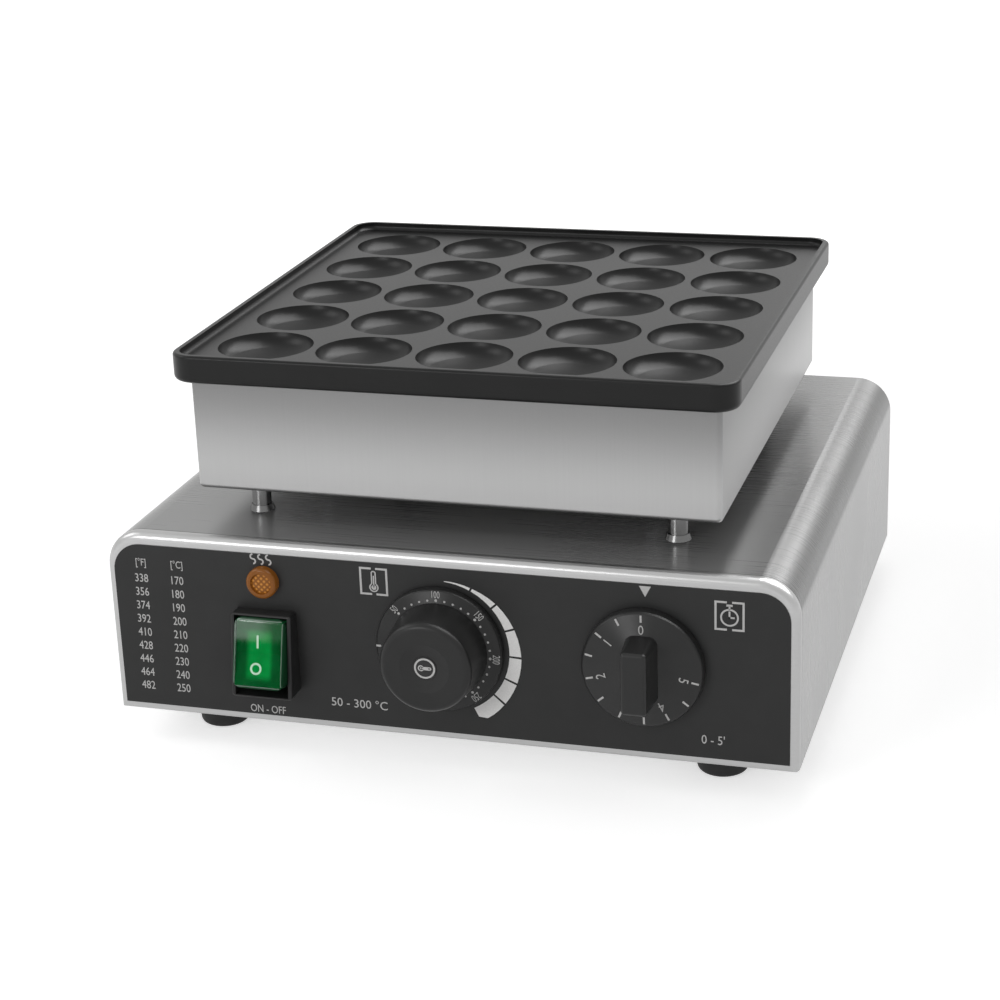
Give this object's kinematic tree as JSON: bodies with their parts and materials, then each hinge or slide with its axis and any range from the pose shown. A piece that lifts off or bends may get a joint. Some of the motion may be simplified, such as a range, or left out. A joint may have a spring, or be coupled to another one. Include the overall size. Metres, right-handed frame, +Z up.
{
  "type": "mini pancake baker",
  "caption": "Countertop baker: cast plate with a grid of shallow round cups on a steel casing, standing on posts over a control base with rocker switch, thermostat knob and timer.",
  "frame": {"origin": "on the floor under the middle of the whole object's box", "axes": "+Z up, -Y towards the front panel and its knobs, +X to the right seen from the front"},
  "size_m": [0.31, 0.325, 0.1792],
  "materials": {
    "stainless": "brushed stainless sheet",
    "panel_steel": "bright rolled stainless edge",
    "casing_steel": "brushed stainless sheet, upright grain",
    "bright_steel": "turned bright steel",
    "zinc_steel": "zinc plated",
    "panel_film": "matt dark film with pale print",
    "foot_rubber": "matt black rubber",
    "coated_cast": "cast, dark non-stick coating",
    "mineral_wool": "pressed mineral wool",
    "element_sheath": "heat darkened sheath",
    "ceramic_white": "white glazed",
    "wire_red": "silicone sleeve",
    "wire_brown": "silicone sleeve",
    "wire_black": "silicone sleeve",
    "wire_white": "silicone sleeve",
    "copper": "drawn copper",
    "brass_contact": "stamped brass",
    "mechanism_plastic": "moulded",
    "knob_plastic": "fine matt black moulding",
    "cap_plastic": "matt disc with a pale printed mark",
    "switch_plastic": "satin black moulding",
    "rocker_green": "lit green moulding",
    "boot_clear": "clear soft cover",
    "lens_amber": "amber, fine facets inside",
    "gland_plastic": "black nylon"
  },
  "bodies": {
    "baker": {"base_shell": "stainless", "rear_panel": "stainless", "bottom_plate": "stainless", "front_panel": "panel_steel", "grill_casing": "casing_steel", "support_posts": "bright_steel", "post_collars": "bright_steel", "bottom_screws": "zinc_steel", "foot_screws": "zinc_steel", "foot_nuts": "zinc_steel", "post_nuts": "zinc_steel", "plate_studs": "zinc_steel", "casing_nuts": "zinc_steel", "clamp_nuts": "zinc_steel", "clamp_plate": "zinc_steel", "bulb_clip": "zinc_steel", "control_screws": "zinc_steel", "block_screws": "zinc_steel", "control_overlay": "panel_film", "rubber_feet": "foot_rubber", "baking_plate": "coated_cast", "insulation_pad": "mineral_wool", "heating_element": "element_sheath", "element_terminals": "ceramic_white", "terminal_block": "ceramic_white", "element_leads": "wire_red", "supply_wires": "wire_brown", "control_wires": "wire_black", "lamp_wires": "wire_white", "thermostat_bulb": "copper", "capillary_tube": "copper", "switch_terminals": "brass_contact", "thermostat_body": "mechanism_plastic", "timer_body": "mechanism_plastic", "lamp_body": "mechanism_plastic", "switch_housing": "switch_plastic", "lamp_clip": "switch_plastic", "lamp_lens": "lens_amber", "cable_gland": "gland_plastic", "gland_nut": "gland_plastic"},
    "rocker_switch": {"rocker": "rocker_green", "rocker_boot": "boot_clear"},
    "temperature_control": {"thermostat_shaft": "zinc_steel", "temperature_knob": "knob_plastic", "knob_cap": "cap_plastic"},
    "timer_control": {"timer_shaft": "zinc_steel", "timer_knob": "knob_plastic"}
  },
  "joints": [
    {"name": "rocker_tip", "type": "hinge", "parent": "baker", "child": "rocker_switch", "pos_m": [-0.08, -0.1411, 0.0516], "axis": [1, 0, 0], "range_deg": [0, 30]},
    {"name": "temperature_turn", "type": "hinge", "parent": "baker", "child": "temperature_control", "pos_m": [0, -0.1385, 0.0596], "axis": [0, -1, 0], "range_deg": [-90, 196]},
    {"name": "timer_turn", "type": "hinge", "parent": "baker", "child": "timer_control", "pos_m": [0.0895, -0.1385, 0.0596], "axis": [0, 1, 0], "range_deg": [0, 265]}
  ]
}
